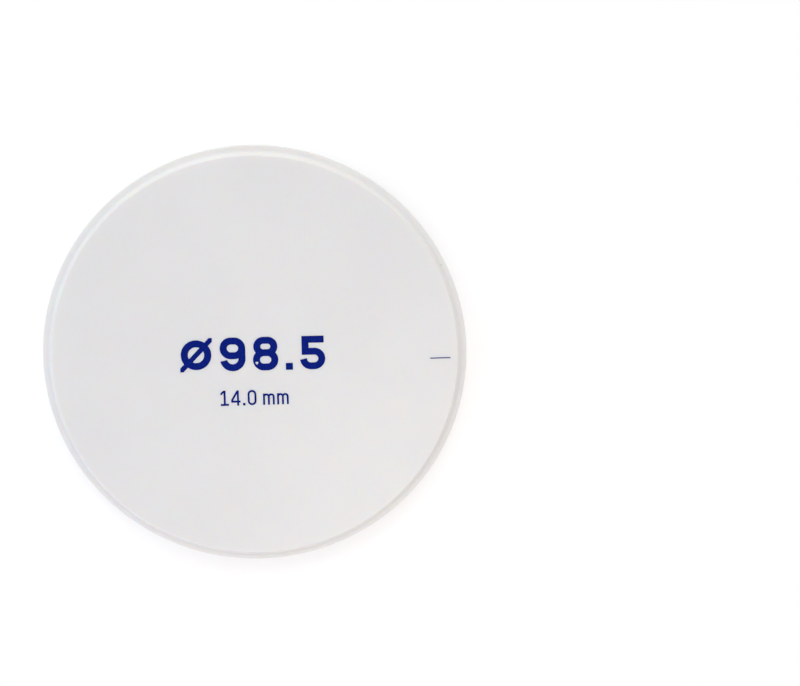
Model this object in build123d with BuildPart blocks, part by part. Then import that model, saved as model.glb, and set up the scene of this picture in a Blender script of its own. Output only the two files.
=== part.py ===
from build123d import *
import os

# Dental milling disc: one round blank of chalky, part-fired ceramic, pressed and then turned all round.
# Its collar is gripped by the ring of a mill's holder, and teeth are milled out of the faces.
# It lies on its lower face, centred on the origin, and +Z points out of its printed upper face.
# Sizes are in millimetres.

rim_diameter = 98.5  # across the collar, which drops into the holder's ring
collar_height = 10.0  # between the two ledges, the same on discs of every thickness
ledge_width = 1.85  # flat ring on each side of the collar, where the clamp bears
step_height = 2.0  # how far each face stands beyond its ledge
face_bevel = 0.65  # 45 degree bevel round each face
rim_bevel = 0.15  # 45 degree bevel on the collar's two outer corners
root_radius = 0.5  # inner corner at the foot of each step, left by the tool's nose

rim_radius = rim_diameter / 2
step_radius = rim_radius - ledge_width
collar_top = step_height + collar_height
thickness = collar_top + step_height

with BuildPart() as milling_disc:
    # Half of the section, from the axis outwards, as the lathe cuts it.
    with BuildSketch(Plane.XZ) as section:
        with BuildLine():
            Polyline(
                (0, 0),
                (step_radius, 0),
                (step_radius, step_height),
                (rim_radius, step_height),
                (rim_radius, collar_top),
                (step_radius, collar_top),
                (step_radius, thickness),
                (0, thickness),
                close=True,
            )
        make_face()
        # The step's four corners stand on one line: the outer two carry the bevels of the faces.
        step_corners = section.vertices().group_by(Axis.X)[-2].sort_by(Axis.Y)
        chamfer([step_corners[0], step_corners[-1]], length=face_bevel)
        # Of the points now on that line, the middle two are the feet of the steps.
        step_corners = section.vertices().group_by(Axis.X)[-2].sort_by(Axis.Y)
        fillet(step_corners[1:3], radius=root_radius)
        rim_corners = section.vertices().group_by(Axis.X)[-1]
        chamfer(rim_corners, length=rim_bevel)
    revolve(axis=Axis.Z)

milling_disc.part.label = "milling_disc"

os.makedirs("parts", exist_ok=True)
export_step(milling_disc.part, "parts/milling_disc.step")
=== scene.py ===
import math

import bpy
import numpy as np
from mathutils import Matrix, Vector


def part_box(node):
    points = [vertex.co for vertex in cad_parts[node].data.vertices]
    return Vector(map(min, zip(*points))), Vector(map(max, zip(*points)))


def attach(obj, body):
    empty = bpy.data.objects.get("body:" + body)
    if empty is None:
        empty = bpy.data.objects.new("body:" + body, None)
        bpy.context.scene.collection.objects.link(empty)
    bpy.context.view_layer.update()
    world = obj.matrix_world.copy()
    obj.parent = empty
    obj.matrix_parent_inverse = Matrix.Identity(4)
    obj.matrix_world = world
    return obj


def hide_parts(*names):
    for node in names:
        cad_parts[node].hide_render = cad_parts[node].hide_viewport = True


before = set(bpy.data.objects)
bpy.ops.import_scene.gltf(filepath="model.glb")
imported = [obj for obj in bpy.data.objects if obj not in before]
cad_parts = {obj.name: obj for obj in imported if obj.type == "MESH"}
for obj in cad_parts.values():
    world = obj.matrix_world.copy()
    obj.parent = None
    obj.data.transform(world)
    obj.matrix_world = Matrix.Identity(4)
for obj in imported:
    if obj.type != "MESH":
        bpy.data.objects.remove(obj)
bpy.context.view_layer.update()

# Disc body: one puck of zirconia powder, pressed and part-fired until it is as hard as chalk, then
# turned on a lathe, with a collar for the holder's ring and a ledge and a low step on each side.
# It is matt and pale and a little see-through near its edges, and a few small brownish specks are
# painted into its colour.
low, high = (Vector(corner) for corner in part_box("milling_disc"))
RIM_RADIUS = (high.x - low.x) / 2
THICKNESS = high.z - low.z
STEP_HEIGHT = 0.0020
LEDGE_WIDTH = 0.00185
FACE_BEVEL = 0.00065
RIM_BEVEL = 0.00015
ROOT_RADIUS = 0.0010
EDGE_SOFTNESS = 0.00005
TURNS = 512
STEP_RADIUS = RIM_RADIUS - LEDGE_WIDTH


def rounded_line(corners, radii, steps=5):
    """Points along a line of straight runs whose corners are replaced by arcs.

    Each arc touches both runs at the same distance from its corner, radius * tan(half the turn),
    and its points are the arc's centre plus the radius along directions spread evenly between them."""
    points = [corners[0]]
    for before, corner, after, radius in zip(corners, corners[1:], corners[2:], radii):
        to_before, to_after = before - corner, after - corner
        to_before, to_after = to_before / np.hypot(*to_before), to_after / np.hypot(*to_after)
        half_opening = math.acos(float(np.clip(to_before @ to_after, -1, 1))) / 2
        middle = (to_before + to_after) / np.hypot(*(to_before + to_after))
        centre = corner + middle * radius / math.sin(half_opening)
        sweep = math.pi / 2 - half_opening
        side = 1 if to_before[0] * to_after[1] - to_before[1] * to_after[0] < 0 else -1
        angles = math.atan2(-middle[1], -middle[0]) + side * np.linspace(-sweep, sweep, steps)
        points.extend(centre + radius * np.stack([np.cos(angles), np.sin(angles)], axis=1))
    points.append(corners[-1])
    return np.array(points)


def turned_mesh(name, section, turns):
    """A section in the (radius, height) plane carried round the axis.

    Point (i, j) is (radius_i * cos(angle_j), radius_i * sin(angle_j), height_i). The section starts
    and ends on the axis, where one point closes the mesh with a fan."""
    angles = np.arange(turns) * (2 * math.pi / turns)
    radius, height = section[1:-1, 0], section[1:-1, 1]
    ring = np.stack([
        np.outer(radius, np.cos(angles)),
        np.outer(radius, np.sin(angles)),
        np.outer(height, np.ones(turns)),
    ], axis=-1).reshape(-1, 3)
    first_pole, last_pole = len(ring), len(ring) + 1
    points = np.concatenate([ring, [[0, 0, section[0, 1]], [0, 0, section[-1, 1]]]])
    here = np.arange(turns)
    beyond = (here + 1) % turns
    rows = np.arange(len(radius) - 1)[:, None] * turns
    quads = np.stack([rows + here, rows + beyond, rows + turns + beyond, rows + turns + here], axis=-1)
    last_row = (len(radius) - 1) * turns
    first_fan = np.stack([np.full(turns, first_pole), beyond, here], axis=-1)
    last_fan = np.stack([np.full(turns, last_pole), last_row + here, last_row + beyond], axis=-1)
    faces = quads.reshape(-1, 4).tolist() + first_fan.tolist() + last_fan.tolist()
    mesh = bpy.data.meshes.new(name)
    mesh.from_pydata(points.tolist(), [], faces)
    mesh.shade_smooth()
    return mesh


def add_piece(name, mesh, material):
    """A finished piece at the origin, on the one body that the disc has."""
    piece = bpy.data.objects.new(name, mesh)
    bpy.context.scene.collection.objects.link(piece)
    mesh.materials.append(material)
    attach(piece, "root")
    return piece


class Wire:
    """One output in a material's nodes. Arithmetic on it adds Math nodes, and node() adds any other."""

    def __init__(self, socket):
        self.socket = socket
        self.tree = socket.id_data

    def node(self, kind, settings, inputs, output=0):
        """A new node in the same tree: its settings first, then the values or links of its sockets."""
        made = self.tree.nodes.new(kind)
        for key, value in settings.items():
            setattr(made, key, value)
        for key, value in inputs.items():
            if isinstance(value, Wire):
                self.tree.links.new(value.socket, made.inputs[key])
            else:
                made.inputs[key].default_value = value
        return Wire(made.outputs[output])

    def math(self, operation, *values):
        return self.node("ShaderNodeMath", {"operation": operation}, dict(enumerate(values)))

    def vector(self, operation, other, output=0):
        settings = {"operation": operation}
        return self.node("ShaderNodeVectorMath", settings, {0: self, 1: other}, output)

    def __add__(self, other):
        return self.math("ADD", self, other)

    def __mul__(self, other):
        return self.math("MULTIPLY", self, other)

    __radd__, __rmul__ = __add__, __mul__

    def distance(self, point):
        return self.vector("DISTANCE", point, output=1)

    def between(self, start, end):
        """0 below start and 1 above end, with a soft slope; it falls where start is above end."""
        settings = {"interpolation_type": "SMOOTHSTEP"}
        inputs = {"Value": self, "From Min": start, "From Max": end}
        return self.node("ShaderNodeMapRange", settings, inputs)

    def noise(self, size, detail=2.0, roughness=0.5):
        """Cloudy noise about 0.5 whose lumps are about size metres across."""
        inputs = {"Vector": self, "Scale": 1 / size, "Detail": detail, "Roughness": roughness}
        return self.node("ShaderNodeTexNoise", {}, inputs)

    def tint(self, first, second):
        """This value mixes the first colour into the second."""
        settings = {"data_type": "RGBA"}
        return self.node("ShaderNodeMix", settings, {0: self, 6: first, 7: second}, output=2)

    def relief(self, depth, strength):
        """A normal from this value taken as a height, where 1 stands depth metres above 0."""
        inputs = {"Height": self, "Distance": depth, "Strength": strength}
        return self.node("ShaderNodeBump", {}, inputs)


def new_finish(name):
    """An empty material, its Principled shader, and the place on the object in metres."""
    material = bpy.data.materials.new(name)
    material.use_nodes = True
    shader = material.node_tree.nodes["Principled BSDF"]
    coordinates = material.node_tree.nodes.new("ShaderNodeTexCoord")
    return material, shader, Wire(coordinates.outputs["Object"])


def feed(shader, socket, wire):
    wire.tree.links.new(wire.socket, shader.inputs[socket])


CERAMIC = (0.853, 0.850, 0.841, 1)
CERAMIC_CLOUD = (0.839, 0.836, 0.829, 1)
CERAMIC_GRAIN = (0.873, 0.866, 0.853, 1)
# Small round brownish specks, painted into the colour at the places in the table below.
SPECK_BROWN = (0.30, 0.25, 0.22, 1)
BROWN_SPECKS = (
    # place on the disc, radius, strength
    ((-0.0198, 0.0028, THICKNESS), 0.00022, 0.13),
    ((-0.0004, -0.0122, THICKNESS), 0.00014, 0.5),
    ((0.0431, 0.0213, THICKNESS - STEP_HEIGHT), 0.00034, 0.30),
)
CLOUD_SIZE = 0.018
GRAIN_SIZE = 0.00022
GRAIN_SHARE = 0.45
CUTTER_RELIEF_SIZE = 0.00035
CUTTER_RELIEF_DEPTH = 0.000012


def ceramic_finish():
    """Part-fired zirconia: pale, chalky, clouded by the pressing and finely grained by the cutter."""
    material, shader, place = new_finish("part_fired_ceramic")
    cloud = place.noise(CLOUD_SIZE, detail=3.0)
    grain = place.noise(GRAIN_SIZE, detail=3.0, roughness=0.7)
    colour = cloud.between(0.35, 0.65).tint(CERAMIC_CLOUD, CERAMIC)
    colour = (grain.between(0.45, 0.80) * GRAIN_SHARE).tint(colour, CERAMIC_GRAIN)
    # Each speck tints the colour towards brown, fully at its middle and fading out at its radius.
    for spot, radius, strength in BROWN_SPECKS:
        speck = place.distance(spot).between(radius, radius * 0.3) * strength
        colour = speck.tint(colour, SPECK_BROWN)
    feed(shader, "Base Color", colour)
    feed(shader, "Roughness", 0.52 + 0.12 * grain)
    cutter_marks = place.noise(CUTTER_RELIEF_SIZE, detail=4.0, roughness=0.65)
    feed(shader, "Normal", cutter_marks.relief(CUTTER_RELIEF_DEPTH, strength=0.8))
    shader.inputs["IOR"].default_value = 1.5
    shader.inputs["Specular IOR Level"].default_value = 0.3
    shader.inputs["Subsurface Weight"].default_value = 0.7
    shader.inputs["Subsurface Radius"].default_value = (1.0, 0.74, 0.52)
    shader.inputs["Subsurface Scale"].default_value = 0.0014
    return material


half_section = [
    (0, 0),
    (STEP_RADIUS - FACE_BEVEL, 0),
    (STEP_RADIUS, FACE_BEVEL),
    (STEP_RADIUS, STEP_HEIGHT),
    (RIM_RADIUS - RIM_BEVEL, STEP_HEIGHT),
    (RIM_RADIUS, STEP_HEIGHT + RIM_BEVEL),
]
upper_half = [(radius, THICKNESS - height) for radius, height in reversed(half_section)]
corner_radii = [EDGE_SOFTNESS, EDGE_SOFTNESS, ROOT_RADIUS, EDGE_SOFTNESS, EDGE_SOFTNESS]
section = rounded_line(np.array(half_section + upper_half), corner_radii + corner_radii[::-1])
disc_mesh = turned_mesh("disc_body", section, TURNS)
disc_body = add_piece("disc_body", disc_mesh, ceramic_finish())
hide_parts("milling_disc")

# Printed size legend: blue ink set on the upper face by a soft pad. The diameter is in heavy strokes,
# the thickness in fine ones below, and a short line near the edge marks how the disc is turned.
# The film is far thinner than a hair and crisp at its edges, and a flake has come off one figure.
DIAMETER_PLACE = ((-0.01811, -0.00251), (0.01537, 0.00540))
THICKNESS_PLACE = ((-0.00914, -0.01070), (0.00664, -0.00709))
TICK_START, TICK_END, TICK_WIDTH = (0.04018, -0.00058), (0.04504, -0.00058), 0.00026
FLAKE_PLACE, FLAKE_RADIUS = (-0.00050, -0.00072), 0.00032
FILM_HEIGHT = 0.000012
FILM_ROOT = 0.000020
COARSE_CELL = 0.00008
FINE_CELL = 0.00005


def box_distance(place, low, high, radius=0.0):
    """Distance to a rectangle with rounded corners, below zero inside it.

    With q = |place - centre| - (half size - radius), it is the length of q's positive part, plus
    the larger part of q where both are negative, less the radius."""
    low, high = np.asarray(low, float), np.asarray(high, float)
    beyond = np.abs(place - (low + high) / 2) - ((high - low) / 2 - radius)
    outside = np.hypot(*np.moveaxis(np.maximum(beyond, 0), -1, 0))
    return outside + np.minimum(beyond.max(axis=-1), 0) - radius


def band(place, low, high, stroke):
    """A stroke that runs round inside a box, with the box's two ends fully rounded.

    It is the distance to the rounded box through the stroke's middle, made positive on both sides,
    less half the stroke."""
    low, high = np.asarray(low, float) + stroke / 2, np.asarray(high, float) - stroke / 2
    return np.abs(box_distance(place, low, high, (high - low).min() / 2)) - stroke / 2


def bar(place, start, end, stroke):
    """A straight stroke with square ends: a rectangle, in axes that run along and across it."""
    start, end = np.asarray(start, float), np.asarray(end, float)
    length = np.hypot(*(end - start))
    along = (end - start) / length
    across = np.array([-along[1], along[0]])
    turned = np.stack([(place - start) @ along, (place - start) @ across], axis=-1)
    return box_distance(turned, (0, -stroke / 2), (length, stroke / 2))


def half_plane(place, point, degrees):
    """Distance past a line through a point: below zero on the right of the line's direction."""
    turn = math.radians(degrees)
    return (place - point) @ np.array([-math.sin(turn), math.cos(turn)])


def joined(*shapes):
    """All of the shapes: the least of their distances."""
    return np.minimum.reduce(shapes)


def shared(*shapes):
    """What the shapes have in common: the greatest of their distances."""
    return np.maximum.reduce(shapes)


# Each figure is drawn in a frame whose unit is its own height, from its lower left corner.
def nought(place, width, stroke):
    return band(place, (0, 0), (width, 1), stroke)


def one(place, width, stroke):
    """An upright, a sloping flag and a foot, as far as they lie in the figure's own box."""
    stem, flag_reach, flag_foot = width / 2, 0.26, 0.74
    upright = bar(place, (stem, 0), (stem, 1), stroke)
    flag = bar(place, (stem - flag_reach, flag_foot), (stem + stroke, 1 + stroke), stroke)
    foot = bar(place, (0, stroke / 2), (width, stroke / 2), stroke)
    return shared(joined(upright, flag, foot), box_distance(place, (0, 0), (width, 1)))


def four(place, width, stroke):
    """An upright, a rail, and a slope from the rail's left end to the upright's top."""
    stem, rail, overrun = width * 0.74, 0.20 + stroke / 2, 0.1
    upright = bar(place, (stem, 0), (stem, 1), stroke)
    crossing = bar(place, (0, rail), (width, rail), stroke)
    rise = overrun * (1 - rail) / stem
    slope = bar(place, (-overrun, rail - rise), (stem + overrun, 1 + rise), stroke)
    above_rail = box_distance(place, (0, rail - stroke / 2), (stem + stroke / 2, 1))
    return joined(upright, crossing, shared(slope, above_rail))


def five(place, width, stroke):
    """A crown and a neck over a bowl, which is open on its upper left."""
    inset, top = 0.05, 0.52 + stroke * 0.6
    neck = inset + stroke / 2
    crown = bar(place, (inset, 1 - stroke / 2), (width * 0.95, 1 - stroke / 2), stroke)
    upright = bar(place, (neck, top - stroke), (neck, 1), stroke)
    bowl = band(place, (0, 0), (width, top), stroke)
    right_side = box_distance(place, (width / 2, -1), (2, 2))
    shoulder = box_distance(place, (neck - stroke / 2, top - stroke), (width, 2))
    lower_end = half_plane(place, (width / 2, width / 2), 12)
    return joined(crown, upright, shared(bowl, joined(right_side, shoulder, lower_end)))


def eight(place, width, stroke):
    """Two loops with one stroke in common at the waist, the upper a little narrower."""
    waist, inset = 0.53, 0.02
    upper = band(place, (inset, waist - stroke / 2), (width - inset, 1), stroke)
    lower = band(place, (0, 0), (width, waist + stroke / 2), stroke)
    return joined(upper, lower)


def nine(place, width, stroke):
    """A closed bowl, and a hook round the whole figure that is open on its lower left."""
    bowl = band(place, (0, 0.48 - stroke * 0.6), (width, 1), stroke)
    hook = band(place, (0, 0), (width, 1), stroke)
    right_side = box_distance(place, (width / 2, -1), (2, 1.03 - width / 2))
    lower_end = half_plane(place, (width / 2, width / 2), 12)
    return joined(bowl, shared(hook, joined(right_side, lower_end)))


def point(place, width, stroke):
    return box_distance(place, (0, 0), (width, width))


def diameter_sign(place, width, stroke):
    """A circle crossed by a thinner slash from corner to corner."""
    inset, overrun = 0.03, 0.2
    low, high = (inset, 0.5 - width / 2 + inset), (width - inset, 0.5 + width / 2 - inset)
    slash = bar(place, (-overrun, -overrun), (width + overrun, 1 + overrun), stroke * 0.7)
    return joined(band(place, low, high, stroke), shared(slash, box_distance(place, (0, 0), (width, 1))))


def small_m(place, width, stroke):
    """Three stems under two arches, which are bands cut off at the shoulder."""
    arch, height, overlap = (width - stroke) / 2, 0.74, 0.1
    shoulder = height - (arch + stroke) / 2
    stems = [
        bar(place, (left, 0), (left, shoulder), stroke)
        for left in stroke / 2 + arch * np.arange(3)]
    arches = [
        band(place, (left, -1), (left + arch + stroke, height), stroke)
        for left in arch * np.arange(2)]
    corner = box_distance(place, (0, shoulder - overlap), (stroke, height))
    return joined(*stems, corner, shared(joined(*arches), shoulder - overlap - place[..., 1]))


def space(place, width, stroke):
    return np.full(place.shape[:-1], 1.0)


FIGURES = {
    # how it is drawn, and its width as a share of a plain figure's
    "0": (nought, 1.0),
    "1": (one, 0.92),
    "4": (four, 1.06),
    "5": (five, 1.0),
    "8": (eight, 1.0),
    "9": (nine, 1.0),
    ".": (point, 0.28),
    "Ø": (diameter_sign, 1.27),
    "m": (small_m, 1.34),
    " ": (space, 0.2),
}


def legend(text, where, plain_width, stroke):
    """The figures side by side, as high as their place, with even gaps that fill its width.

    What comes back is the distance to the nearest figure, as a function of the place on the face."""
    (left, bottom), (right, top) = where
    height = top - bottom
    widths = [FIGURES[letter][1] * plain_width for letter in text]
    gap = ((right - left) / height - sum(widths)) / (len(text) - 1)

    def distance(place):
        drawn, start = [], 0.0
        for letter, width in zip(text, widths):
            own_place = (place - (left, bottom)) / height - (start, 0)
            drawn.append(FIGURES[letter][0](own_place, width, stroke) * height)
            start += width + gap
        return joined(*drawn)

    return distance


def flake(place):
    """Distance to a ragged round: its radius swings by up to a quarter as the angle goes round."""
    offset = place - np.array(FLAKE_PLACE)
    angle = np.arctan2(offset[..., 1], offset[..., 0])
    raggedness = 1 + 0.14 * np.sin(3 * angle) + 0.10 * np.cos(7 * angle)
    return np.hypot(offset[..., 0], offset[..., 1]) - FLAKE_RADIUS * raggedness


def ink_film(name, distance, where, cell):
    """The shape whose distance is below zero, as a closed film of even thickness on the face.

    The distance is worked out on a grid. A point within half a cell of the outline slides onto it,
    down the distance's slope: place - distance * slope / |slope|^2. Each cell's diagonal is the one
    that leaves its outermost corner by itself, and a triangle stays where its middle is inside."""
    (left, bottom), (right, top) = where
    margin = 2 * cell
    across = np.arange(left - margin, right + 2 * margin, cell)
    up = np.arange(bottom - margin, top + 2 * margin, cell)
    place = np.stack(np.meshgrid(across, up), axis=-1)
    far = distance(place)
    small = cell / 50
    slope = np.stack([
        (distance(place + step) - distance(place - step)) / (2 * small)
        for step in (np.array([small, 0.0]), np.array([0.0, small]))], axis=-1)
    steepness = np.maximum((slope ** 2).sum(axis=-1), 0.25)
    near = np.abs(far) < cell / 2
    place = np.where(near[..., None], place - slope * (far / steepness)[..., None], place)
    far = np.where(near, 0.0, far)

    number = np.arange(far.size).reshape(far.shape)
    corners = np.stack([number[:-1, :-1], number[:-1, 1:], number[1:, 1:], number[1:, :-1]], axis=-1)
    corners = corners.reshape(-1, 4)
    place, far = place.reshape(-1, 2), far.reshape(-1)
    outermost = far[corners].argmax(axis=1)
    corners = np.take_along_axis(corners, (outermost[:, None] + np.arange(4)) % 4, axis=1)
    triangles = np.concatenate([corners[:, [0, 1, 3]], corners[:, [1, 2, 3]]])
    inside = (far[triangles] <= 0).all(axis=1) & (distance(place[triangles].mean(axis=1)) < 0)
    used, triangles = np.unique(triangles[inside], return_inverse=True)
    triangles = triangles.reshape(-1, 3)
    place, count = place[used], len(used)

    edges = np.concatenate([triangles[:, [0, 1]], triangles[:, [1, 2]], triangles[:, [2, 0]]])
    label = np.minimum(edges[:, 0], edges[:, 1]) * count + np.maximum(edges[:, 0], edges[:, 1])
    _, first, times = np.unique(label, return_index=True, return_counts=True)
    rim = edges[first[times == 1]]
    walls = np.stack([rim[:, 1], rim[:, 0], rim[:, 0] + count, rim[:, 1] + count], axis=1)
    points = np.concatenate([
        np.column_stack([place, np.full(count, THICKNESS + FILM_HEIGHT)]),
        np.column_stack([place, np.full(count, THICKNESS - FILM_ROOT)])])
    faces = triangles.tolist() + (triangles[:, ::-1] + count).tolist() + walls.tolist()
    mesh = bpy.data.meshes.new(name)
    mesh.from_pydata(points.tolist(), [], faces)
    return mesh


INK = (0.002, 0.012, 0.190, 1)
INK_THIN = (0.008, 0.026, 0.260, 1)
THIN_PATCH_SIZE = 0.0005
INK_GRAIN_SIZE = 0.00012
INK_RELIEF_DEPTH = 0.000006


def ink_finish():
    """Blue pad ink on chalky ceramic: flat, nearly dull, and paler where the film is thin."""
    material, shader, place = new_finish("marking_ink")
    thin = place.noise(THIN_PATCH_SIZE, detail=3.0, roughness=0.6)
    grain = place.noise(INK_GRAIN_SIZE, detail=2.0)
    colour = thin.between(0.50, 0.75).tint(INK, INK_THIN)
    feed(shader, "Base Color", (grain.between(0.62, 0.80) * 0.25).tint(colour, INK_THIN))
    feed(shader, "Roughness", 0.60 + 0.15 * grain)
    feed(shader, "Normal", grain.relief(INK_RELIEF_DEPTH, strength=0.6))
    shader.inputs["IOR"].default_value = 1.45
    shader.inputs["Specular IOR Level"].default_value = 0.05
    return material


diameter_figures = legend("Ø98.5", DIAMETER_PLACE, plain_width=0.74, stroke=0.205)
thickness_figures = legend("14.0 mm", THICKNESS_PLACE, plain_width=0.56, stroke=0.125)


def flaked_diameter(place):
    return shared(diameter_figures(place), -flake(place))


def turn_mark(place):
    return bar(place, TICK_START, TICK_END, TICK_WIDTH)


ink = ink_finish()
for name, distance, where, cell in (
        ("diameter_legend", flaked_diameter, DIAMETER_PLACE, COARSE_CELL),
        ("thickness_legend", thickness_figures, THICKNESS_PLACE, FINE_CELL),
        ("turn_mark", turn_mark, (TICK_START, TICK_END), FINE_CELL)):
    add_piece(name, ink_film(name, distance, where, cell), ink)

# Floor, light and camera: the disc lies on a white table under soft boxes. Low ones stand beyond its
# top edge, at its lower left and in front. A high one throws the shadow below the disc, and a small one
# hangs over its lower right.
FLOOR_HALF = 2.0
FLOOR_DROP = 0.00002
floor_corners = [
    (x * FLOOR_HALF, y * FLOOR_HALF, -FLOOR_DROP)
    for x, y in ((-1, -1), (1, -1), (1, 1), (-1, 1))]
floor_mesh = bpy.data.meshes.new("floor")
floor_mesh.from_pydata(floor_corners, [], [(0, 1, 2, 3)])
floor = bpy.data.objects.new("floor", floor_mesh)
bpy.context.scene.collection.objects.link(floor)


def seen_directly(tree):
    """1 for a ray from the camera or off gloss, 0 for the light that reaches the object."""
    path = tree.nodes.new("ShaderNodeLightPath")
    camera, glossy, through = (Wire(path.outputs[name]) for name in (
        "Is Camera Ray", "Is Glossy Ray", "Is Transmission Ray"))
    return camera.math("MAXIMUM", camera.math("MAXIMUM", camera, glossy), through)


WHITE = (1, 1, 1, 1)
PAPER = (0.80, 0.80, 0.80, 1)
TABLE_GLOW = 0.325
WHITE_STARTS, WHITE_ENDS = 0.09, 0.18
white_table = bpy.data.materials.new("white_table")
white_table.use_nodes = True
table_tree = white_table.node_tree
table_tree.nodes.clear()
seen = seen_directly(table_tree)
paper = seen.node("ShaderNodeBsdfDiffuse", {}, {"Color": PAPER})
glow = seen.node("ShaderNodeEmission", {}, {"Color": WHITE, "Strength": TABLE_GLOW})
near_disc = seen.node("ShaderNodeAddShader", {}, {0: glow, 1: paper})
plain_white = seen.node("ShaderNodeEmission", {}, {"Color": WHITE, "Strength": 1.0})
place_on_table = Wire(table_tree.nodes.new("ShaderNodeTexCoord").outputs["Object"])
far_from_disc = place_on_table.distance((0, 0, 0)).between(WHITE_STARTS, WHITE_ENDS)
shown = seen.node("ShaderNodeMixShader", {}, {0: far_from_disc, 1: near_disc, 2: plain_white})
table_surface = seen.node("ShaderNodeMixShader", {}, {0: seen, 1: paper, 2: shown})
output = table_tree.nodes.new("ShaderNodeOutputMaterial")
table_tree.links.new(table_surface.socket, output.inputs["Surface"])
floor_mesh.materials.append(white_table)

BRIGHT_SIDE = (-0.42, 0.91, 0.0)
ROOM = (0.524, 0.486, 0.496, 1)
BRIGHT_ROOM = (1.04, 1.15, 1.27, 1)
world = bpy.data.worlds.new("studio")
bpy.context.scene.world = world
world.use_nodes = True
background = world.node_tree.nodes["Background"]
direction = Wire(world.node_tree.nodes.new("ShaderNodeTexCoord").outputs["Generated"])
facing = direction.vector("DOT_PRODUCT", BRIGHT_SIDE, output=1)
room = facing.between(-0.2, 1.0).tint(ROOM, BRIGHT_ROOM)
feed(background, "Color", seen_directly(world.node_tree).tint(room, WHITE))


def soft_box(name, place, size, power, colour):
    """A square lamp of that size in metres, facing the middle of the disc."""
    lamp = bpy.data.lights.new(name, "AREA")
    lamp.shape, lamp.size, lamp.energy, lamp.color = "SQUARE", size, power, colour
    holder = bpy.data.objects.new(name, lamp)
    holder.location = place
    holder.rotation_euler = (-Vector(place)).to_track_quat("-Z", "Y").to_euler()
    holder.visible_camera = False
    bpy.context.scene.collection.objects.link(holder)


soft_box("top_box", (0.0, 0.80, 0.12), 0.40, 1.08, (1.00, 0.73, 0.24))
soft_box("high_box", (0.0, 0.40, 0.69), 0.20, 0.726, (1.00, 1.00, 1.00))
soft_box("left_box", (-0.50, -0.55, 0.13), 0.40, 1.53, (0.72, 0.83, 1.00))
soft_box("front_box", (-0.05, -0.80, 0.12), 0.40, 0.428, (1.00, 0.74, 0.48))
soft_box("near_box", (0.06, -0.07, 0.12), 0.08, 0.0297, (1.00, 0.93, 0.77))

# The camera is fitted to the rim's and the face's edges in the photograph, 800 x 686 pixels.
CAMERA_PLACE = (0.009549, 0.039002, 0.242525)
CAMERA_FORWARD = Vector((0.10092, -0.15388, -0.98292))
CAMERA_UP = Vector((0.02271, 0.98807, -0.15235))
IMAGE_WIDTH = 800
FOCAL_PIXELS = 986.5
lens = bpy.data.cameras.new("camera")
lens.sensor_fit, lens.sensor_width = "HORIZONTAL", 36.0
lens.lens = lens.sensor_width * FOCAL_PIXELS / IMAGE_WIDTH
lens.clip_start = 0.01
camera = bpy.data.objects.new("camera", lens)
back = -CAMERA_FORWARD.normalized()
right = CAMERA_UP.cross(back).normalized()
turn = Matrix((right, back.cross(right), back)).transposed().to_4x4()
camera.matrix_world = Matrix.Translation(CAMERA_PLACE) @ turn
bpy.context.scene.collection.objects.link(camera)
bpy.context.scene.camera = camera
bpy.context.scene.view_settings.view_transform = "Standard"
